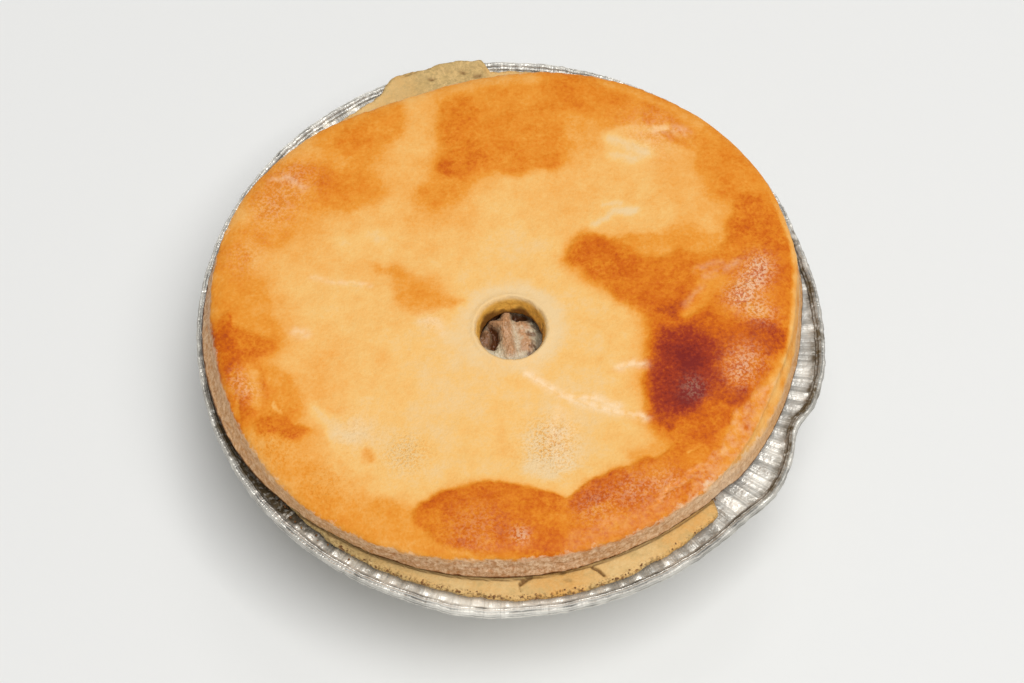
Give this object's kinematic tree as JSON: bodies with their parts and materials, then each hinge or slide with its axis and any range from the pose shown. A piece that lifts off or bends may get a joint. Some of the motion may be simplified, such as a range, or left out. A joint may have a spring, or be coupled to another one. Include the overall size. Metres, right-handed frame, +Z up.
{
  "type": "chicken pie",
  "caption": "Round baked chicken pie in its shallow pleated foil tin, with a browned pastry lid, a round steam vent that shows the filling, and an uneven pastry ledge on the rim.",
  "frame": {"origin": "centre of the tin's rim seen from above, on the surface that the pie stands on", "axes": "+Z up; -Y towards the side with the widest pastry ledge; +X to the right as seen from that side"},
  "size_m": [0.1227, 0.1252, 0.0404],
  "materials": {
    "foil": "bright thin foil, pleated and crinkled, with a rolled rim",
    "case_pastry": "dull, crumbly pale golden pastry, darker at its edges",
    "filling": "moist chicken in a pale brown sauce",
    "lid_pastry": "egg-glazed pastry, pale gold to deep orange-brown with one burnt spot, half glossy"
  },
  "bodies": {
    "root": {"foil_tin": "foil", "pastry_case": "case_pastry", "chicken_filling": "filling", "pastry_lid": "lid_pastry"}
  },
  "joints": []
}
